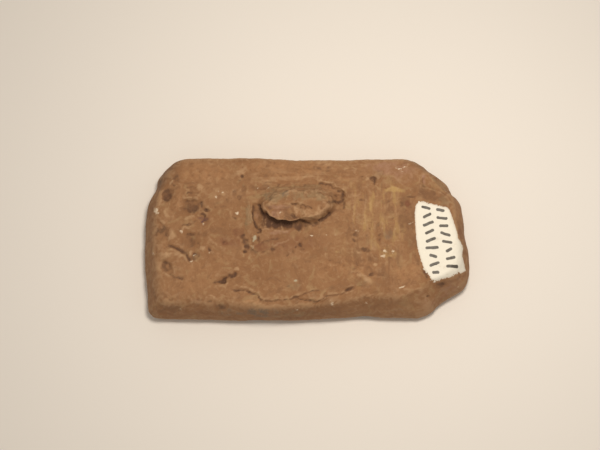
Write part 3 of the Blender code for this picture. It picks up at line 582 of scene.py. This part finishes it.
tones = ("dark", "red", "olive", "pale", "orange", "brown", "crust", "stone", "grey", "rose", "straw", "yellow",
         "plum")


def addMarks(points, normals):
    places = seenAt(points)
    toEye = np.array(sight["eye"]) - points
    toEye /= np.linalg.norm(toEye, axis=1)[:, None]
    seen = softStep(0.02, 0.22, np.einsum("ij,ij->i", toEye, normals))
    places = placed(places, points)
    height = np.zeros(len(points))
    paint = {tone: np.zeros(len(points)) for tone in tones}
    size, strength = texture["uneven"]
    uneven = 1 + strength * rubble(points, size, 2, 90)
    shapes = [(blotShape(places, *blot[:5]), *blot[5:]) for blot in blots]
    for path, width, rise, tone, strength in lines:
        away, _, along = fromPath(places, softPath(path))
        shapes.append((np.exp(-(away / width) ** 2) * softStep(0, 0.12, along) * softStep(1, 0.88, along),
                       rise, tone, strength))
    for shape, rise, tone, strength in shapes:
        shape = np.clip(shape * uneven, 0, 1)
        height += rise * shape
        paint[tone] = 1 - (1 - paint[tone]) * (1 - np.clip(strength * shape, 0, 1))
    for path, rise, soft, reach in folds:
        away, side, along = fromPath(places, softPath(path))
        step = softStep(-soft, soft, away * side) * np.exp(-np.clip(away * side, 0, None) / reach)
        height += rise * step * softStep(0, 0.15, along) * softStep(1, 0.85, along)
    return places, seen, height * seen, {tone: value * seen for tone, value in paint.items()}


def zoneOf(key, places):
    zone = texture[key]
    inZone = np.ones(len(places))
    for k, (low, high) in enumerate((zone["x"], zone["y"])):
        inZone *= softStep(low - zone["soft"], low + zone["soft"], places[:, k])
        inZone *= softStep(high + zone["soft"], high - zone["soft"], places[:, k])
    return inZone


def surfaceTexture(points, places, seen):
    height = sum(reach * bumps(points, size, 60 + k)
                 for k, (size, reach) in enumerate(texture[key] for key in ("broad", "middle", "small", "fine")))
    size, steps, rise = texture["terraces"]
    level = steps * rubble(points, size, 3, 120)
    height += rise * (np.floor(level) + softStep(0, 0.22, level - np.floor(level)) - level) * seen
    zones = {}
    for k, key in enumerate(("streaky", "striped")):
        zone = texture[key]
        zones[key] = zoneOf(key, places) * seen
        grain = rubble(points * zone["stretch"], zone["size"], 2, 70 + 5 * k)
        height += zone["height"] * grain * zones[key]
    broken = softStep(-0.2, 1.0, stumpInside(points[:, 0], points[:, 1])) * seen
    height += texture["fracture"] * rubble(points, 2.0, 3, 80) * broken
    pits = texture["pits"]
    random = np.random.default_rng(5)
    for _ in range(pits["count"]):
        spot = random.uniform((-36, -16), (36, 18))
        size, depth = random.uniform(*pits["size"]), random.uniform(*pits["depth"])
        close = np.flatnonzero(np.abs(places - spot).max(axis=1) < 3 * size)
        reach = np.sum((places[close] - spot) ** 2, axis=1) / size ** 2
        height[close] -= depth * np.exp(-reach) * seen[close]
    return height, zones, broken


def worn(points, side):  # the stamping face's grooves, channels and dimples cut into the underside and its foot
    x, y, z = points.T
    depth = stampDepth(x, y)
    lift = depth * np.clip(1 - z / (stamp["groovesReachUp"] * 10), 0, 1)
    return np.stack([x, y, z + lift], axis=1)


onBack = np.arange(len(points)) < backCount
upSide = softStep(4.5, 7.5, points[:, 2])
base = relaxed(points, 7, (0.08 + 0.42 * np.where(onBack, 1, upSide))[:, None])
base[:, 2] = np.where(points[:, 2] <= 0, 0, base[:, 2])
normals = outwardOf(base)
places, seen, markHeight, paint = addMarks(base, normals)
textureHeight, zones, broken = surfaceTexture(base, places, seen)
height = markHeight + textureHeight
top = softStep(0.2, 0.7, normals[:, 2])
print("marks and texture:", len(blots) + len(lines) + len(folds), "marks, height from",
      round(float(height.min()), 2), "to", round(float(height.max()), 2), "mm")
formed = base + normals * height[:, None]
formed = worn(formed, top)

# the lip of the stump hangs over its worn front
overhang = {"x": -5.4, "z": 11.2, "halfX": 4.9, "halfZ": 0.9, "in": 1.2, "lipZ": 12.6, "lipHalfZ": 0.7, "out": 0.35,
            "y": (1.2, 4.6)}
x, y, z = formed.T
front = softStep(overhang["y"][0], overhang["y"][0] + 0.5, y) * softStep(overhang["y"][1], overhang["y"][1] - 1.2, y)
front = front * np.exp(-((x - overhang["x"]) / overhang["halfX"]) ** 4)
formed[:, 1] += front * overhang["in"] * np.exp(-((z - overhang["z"]) / overhang["halfZ"]) ** 2)
formed[:, 1] -= front * overhang["out"] * np.exp(-((z - overhang["lipZ"]) / overhang["lipHalfZ"]) ** 2)

formed = relaxed(formed, 1, 0.35)
inside = 0.01
low, high = (np.array(corner) / mm for corner in cadBox)
formed = formed - middle
formed[:, :2] = np.clip(formed[:, :2], low[:2] + inside, high[:2] - inside)
formed[:, 2] = np.clip(formed[:, 2], 0, high[2] - inside)

# ridges and hollows: the material paints ridges paler, as rubbed wear and partly painted highlight, and hollows
# darker, as dirt and partly painted shade
smoothed = relaxed(formed, 14)
normals = outwardOf(formed)
ridge = np.einsum("ij,ij->i", formed - smoothed, normals)

mesh.vertices.foreach_set("co", (formed * mm).astype(np.float32).ravel())
mesh.polygons.foreach_set("use_smooth", np.ones(len(mesh.polygons), bool))
mesh.update()
mesh.validate()


def store(name, values):
    attribute = mesh.attributes.new(name, "FLOAT", "POINT")
    attribute.data.foreach_set("value", np.asarray(values, np.float32))


# The painted patch at the right end: its outline as seen, and rows of plain ink ticks.
patch = {
    "outline": ((25.5, 7.8), (28, 7.3), (30, 6.7), (31.7, 6.4), (32.5, 5.7), (32.9, 4.5), (33.4, 2.5), (34, 0.5),
                (34.1, -1), (34.8, -2), (35.2, -3.5), (34.9, -4.8), (35.1, -6), (35.5, -8.7), (34, -9.2), (32, -10),
                (29, -10.8), (28.2, -11.3), (27.5, -10.2), (26, -7.8), (25.5, -6), (25, -4), (24.6, -1), (24.5, 2),
                (24.5, 5), (24.8, 7)),
    "rows": (((26.9, 7.0), (28.8, -10.2)), ((30.1, 6.4), (32.6, -8.6))),
    "pitch": 1.9, "half": 1.05, "tilt": 1.0, "ink": 0.33,
}


def patchEdge(places):  # distance inside the patch's outline
    outline = np.array(patch["outline"])
    closed = np.vstack([outline, outline[:1]])
    away, _, _ = fromPath(places, closed)
    inside = np.zeros(len(places), bool)
    for (ax, ay), (bx, by) in zip(closed[:-1], closed[1:]):
        crosses = (ay > places[:, 1]) != (by > places[:, 1])
        inside ^= crosses & (places[:, 0] < ax + (places[:, 1] - ay) * (bx - ax) / (by - ay + 1e-12))
    return np.where(inside, away, -away)


patchDistance = np.where(seen > 0.3, patchEdge(seenAt(formed + middle)), -5)
for tone in tones:
    store(tone, paint[tone])
for name, values in (("ridge", ridge), ("patchEdge", patchDistance), ("streaky", zones["streaky"]),
                     ("striped", zones["striped"]), ("broken", broken),
                     ("seen", seen)):
    store(name, values)

piece = bpy.data.objects.new("fired_clay_seal", mesh)
bpy.context.scene.collection.objects.link(piece)
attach(piece, "root")
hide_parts("clay_seal")
print("seal formed:", sum(len(face) - 2 for face in faces), "triangles")


class Wire:  # one output of a shader node, with arithmetic
    def __init__(self, tree, socket=None):
        self.tree = tree
        self.socket = socket

    def node(self, kind, settings, sockets, output=0):
        made = self.tree.nodes.new("ShaderNode" + kind)
        for name, value in settings.items():
            if name == "stops":
                ramp = made.color_ramp
                while len(ramp.elements) < len(value):
                    ramp.elements.new(0.5)
                for element, (position, colour) in zip(ramp.elements, value):
                    element.position, element.color = position, (*colour, 1)
            else:
                setattr(made, name, value)
        for key, value in sockets.items():
            if isinstance(value, Wire):
                self.tree.links.new(value.socket, made.inputs[key])
            else:
                made.inputs[key].default_value = value
        return Wire(self.tree, made.outputs[output])

    def math(self, operation, *values):
        return self.node("Math", {"operation": operation}, dict(enumerate(values)))

    def __add__(self, other):
        return self.math("ADD", self, other)

    def __radd__(self, other):
        return self.math("ADD", other, self)

    def __sub__(self, other):
        return self.math("SUBTRACT", self, other)

    def __rsub__(self, other):
        return self.math("SUBTRACT", other, self)

    def __mul__(self, other):
        return self.math("MULTIPLY", self, other)

    def __rmul__(self, other):
        return self.math("MULTIPLY", other, self)

    def __truediv__(self, other):
        return self.math("DIVIDE", self, other)

    def __pow__(self, other):
        return self.math("POWER", self, other)

    def step(self, low, high):  # a soft step from 0 at low to 1 at high
        return self.node("MapRange", {"interpolation_type": "SMOOTHSTEP"}, {0: self, 1: low, 2: high})


def startShader(name):
    material = bpy.data.materials.new(name)
    material.use_nodes = True
    shader = material.node_tree.nodes["Principled BSDF"]
    return material, shader, Wire(material.node_tree)


def feed(shader, key, wire):
    wire.tree.links.new(wire.socket, shader.inputs[key])


clay = {
    "tan": (0.290, 0.147, 0.067), "warm": (0.262, 0.126, 0.054), "dark": (0.098, 0.044, 0.022),
    "red": (0.195, 0.078, 0.036), "olive": (0.245, 0.155, 0.080), "pale": (0.430, 0.265, 0.145),
    "orange": (0.350, 0.175, 0.078), "brown": (0.190, 0.092, 0.042), "crust": (0.720, 0.600, 0.460),
    "stone": (0.430, 0.380, 0.270), "grey": (0.190, 0.130, 0.085), "rose": (0.330, 0.178, 0.115),
    "straw": (0.345, 0.215, 0.105), "yellow": (0.420, 0.265, 0.105), "plum": (0.090, 0.035, 0.045),
    "paint": (0.800, 0.770, 0.690), "ink": (0.030, 0.022, 0.016),
}


def clayMaterial():
    material, shader, start = startShader("firedClay")
    at = start.node("TexCoord", {}, {}, 3)
    at = at.node("VectorMath", {"operation": "SCALE"}, {0: at, 3: 1 / mm})

    def grain(size, detail=3.0, stretch=(1, 1, 1), shift=0.0, twist=0.0):
        spot = at.node("VectorMath", {"operation": "MULTIPLY_ADD"}, {0: at, 1: stretch, 2: (shift, shift, shift)})
        return at.node("TexNoise", {}, {"Vector": spot, "Scale": 1 / size, "Detail": detail, "Distortion": twist})

    def mix(factor, a, b):
        return at.node("Mix", {"data_type": "RGBA"}, {0: factor, 6: a, 7: b}, 2)

    def tone(name):
        return at.node("Attribute", {"attribute_name": name}, {}, 2)

    def full(colour):
        return (*clay[colour], 1)

    patches = grain(9.0, 3, shift=31, twist=0.8)
    mottle = grain(3.2, 4, shift=19, twist=1.4)
    rough = grain(1.2, 4, shift=83, twist=0.6)
    speck = grain(0.42, 2, shift=57)
    colour = mix(patches.step(0.36, 0.64), full("tan"), full("warm"))
    colour = mix(mottle.step(0.44, 0.30) * 0.5, colour, full("brown"))
    colour = mix(mottle.step(0.52, 0.70) * 0.55, colour, full("straw"))
    colour = mix(rough.step(0.50, 0.70) * 0.30, colour, full("pale"))
    colour = mix(rough.step(0.46, 0.28) * 0.35, colour, full("brown"))
    streaks = {"streaky": grain(1.5, 3, (1, 0.28, 0.5), 11, 0.5), "striped": grain(1.1, 3, (0.2, 1, 0.5), 13, 0.3)}
    for name, light, amount in (("streaky", "yellow", 0.55), ("striped", "pale", 0.35)):
        colour = mix(tone(name) * streaks[name].step(0.50, 0.68) * amount, colour, full(light))
        colour = mix(tone(name) * streaks[name].step(0.47, 0.33) * amount, colour, full("brown"))
    ragged = (rough - 0.5) * 1.3 + (speck - 0.5) * 0.6 + (mottle - 0.5) * 0.5
    for name in ("orange", "brown", "olive", "grey", "straw", "yellow", "rose", "red", "pale", "plum", "dark"):
        mask = tone(name)
        mask = (mask + ragged * mask * (1.15 - mask) * 2.4).step(0.0, 1.0)
        colour = mix(mask, colour, full(name))
    ridge = tone("ridge")
    # ridges paler for rubbed wear and partly painted highlight; hollows darker for dirt and partly painted shade
    colour = mix((ridge + ragged * 0.02).step(0.01, 0.12) * 0.45, colour, full("pale"))
    colour = mix((ridge + ragged * 0.02).step(-0.02, -0.17) * 0.7, colour, full("dark"))
    for name in ("stone", "crust"):
        mask = (tone(name) + (speck - 0.5) * 1.1 + (rough - 0.5) * 0.8).step(0.3, 0.85)
        colour = mix(mask * 0.85, colour, full(name))
    colour = mix(speck.step(0.64, 0.76) * 0.30, colour, full("pale"))
    colour = mix(speck.step(0.36, 0.25) * 0.25, colour, full("dark"))

    # the painted patch
    edge = tone("patchEdge")
    split = at.node("SeparateXYZ", {}, {0: at})
    across, along = split, Wire(at.tree, split.socket.node.outputs[1])
    frayed = (along + 1.5).math("ABSOLUTE", along + 1.5).step(6.5, 8.5)
    frayed = (rough - 0.5) * (0.35 + frayed * 1.6) + (speck - 0.5) * (0.25 + frayed * 0.7)
    painted = (edge + frayed).step(-0.06, 0.10)
    thin = grain(2.2, 3, shift=5).step(0.60, 0.80) * 0.30
    paintColour = mix(thin, full("paint"), full("straw"))
    colour = mix(painted * (1 - edge.step(0.5, 0.0) * 0.25), colour, paintColour)
    ink = None
    for k, ((ax, ay), (bx, by)) in enumerate(patch["rows"]):
        length = float(np.hypot(bx - ax, by - ay))
        dx, dy = (bx - ax) / length, (by - ay) / length
        ax, ay = ax - middle[0], ay - middle[1]
        s = (across - ax) * dx + (along - ay) * dy
        t = (along - ay) * dx - (across - ax) * dy
        cell = (s / patch["pitch"]).math("FLOOR", s / patch["pitch"])
        chanceOf = at.node("TexWhiteNoise", {"noise_dimensions": "1D"}, {"W": cell + 37.0 * (k + 1)}, 1)
        parts = at.node("SeparateXYZ", {}, {0: chanceOf})
        draws = [Wire(at.tree, parts.socket.node.outputs[i]) for i in range(3)]
        off = s - (cell + 0.5) * patch["pitch"]
        angle = (draws[0] - 0.5) * patch["tilt"]
        cosine, sine = angle.math("COSINE", angle), angle.math("SINE", angle)
        a = off * cosine - t * sine + (rough - 0.5) * 0.35
        b = off * sine + t * cosine
        half = patch["half"] * (0.45 + draws[1] * 0.75)
        past = b.math("ABSOLUTE", b) - half
        past = past.math("MAXIMUM", past, 0.0)
        away = (a * a + past * past) ** 0.5
        row = away.step(patch["ink"] + 0.07, patch["ink"] - 0.05) * s.step(-0.1, 0.0) * s.step(length + 0.1, length)
        ink = row if ink is None else ink.math("MAXIMUM", ink, row)
    colour = mix(ink * painted * 0.93, colour, full("ink"))
    feed(shader, "Base Color", colour)
    feed(shader, "Roughness", 0.86 - ridge.step(0.0, 0.1) * 0.08 - painted * 0.2 - ink * painted * 0.15)

    fine = grain(0.28, 2, shift=7) * 0.5 + rough * 0.8 + tone("streaky") * streaks["streaky"] * 0.5
    fine = fine * (1 - painted * 0.6) + tone("broken") * grain(0.6, 3, shift=3) * 0.5
    bump = at.node("Bump", {}, {"Strength": 1.0, "Distance": 0.10 * mm, "Height": fine})
    feed(shader, "Normal", bump)
    return material


mesh.materials.append(clayMaterial())
print("clay material made")

# The floor, the light and the camera.
studio = {
    "floorSize": 4.0, "floorColour": (0.82, 0.79, 0.765),
    "camera": {"at": (-0.00165, -0.06046, 0.22771), "aim": (-0.00165, 0.0034, 0.005), "lens": 60},
    "key": {"at": (0.0215, 0.0155, 0.180), "aim": (0.0215, 0.0155, 0.0), "size": 0.05, "power": 0.225,
            "colour": (1.0, 0.905, 0.775)},
    "air": {"colour": (1.0, 0.905, 0.775), "strength": 0.438},
}

floorMesh = bpy.data.meshes.new("studioFloor")
half = studio["floorSize"] / 2
floorMesh.from_pydata([(-half, -half, 0), (half, -half, 0), (half, half, 0), (-half, half, 0)], [], [(0, 1, 2, 3)])
floor = bpy.data.objects.new("studioFloor", floorMesh)
bpy.context.scene.collection.objects.link(floor)
material, shader, start = startShader("paperFloor")
at = start.node("TexCoord", {}, {}, 3)
cloud = at.node("TexNoise", {}, {"Vector": at, "Scale": 14.0, "Detail": 2.0})
tint = tuple(0.975 * c for c in studio["floorColour"])
feed(shader, "Base Color", at.node("Mix", {"data_type": "RGBA"}, {0: cloud, 6: (*studio["floorColour"], 1), 7: (*tint, 1)}, 2))
shader.inputs["Roughness"].default_value = 0.9
floorMesh.materials.append(material)


def turnTo(thing, place, aim):
    thing.location = place
    thing.rotation_mode = "QUATERNION"
    thing.rotation_quaternion = (Vector(aim) - Vector(place)).to_track_quat("-Z", "Y")


shift = Vector((*middle[:2], 0)) * mm
key = bpy.data.lights.new("key", "AREA")
key.shape = "DISK"
key.size = studio["key"]["size"]
key.energy = studio["key"]["power"]
key.color = studio["key"]["colour"]
keyLight = bpy.data.objects.new("key", key)
keyLight.visible_camera = False
bpy.context.scene.collection.objects.link(keyLight)
turnTo(keyLight, studio["key"]["at"], studio["key"]["aim"])

world = bpy.data.worlds.new("studioAir")
world.use_nodes = True
background = world.node_tree.nodes["Background"]
background.inputs["Color"].default_value = (*studio["air"]["colour"], 1)
background.inputs["Strength"].default_value = studio["air"]["strength"]
scene = bpy.context.scene
scene.world = world
scene.view_settings.view_transform = "Standard"

lens = bpy.data.cameras.new("camera")
lens.lens = studio["camera"]["lens"]
lens.sensor_width = 36
lens.clip_start = 0.01
camera = bpy.data.objects.new("camera", lens)
scene.collection.objects.link(camera)
turnTo(camera, Vector(studio["camera"]["at"]) - shift, Vector(studio["camera"]["aim"]) - shift)
scene.camera = camera
print("floor, light and camera placed")

print("CAD box", [round(v / mm, 2) for corner in cadBox for v in corner])
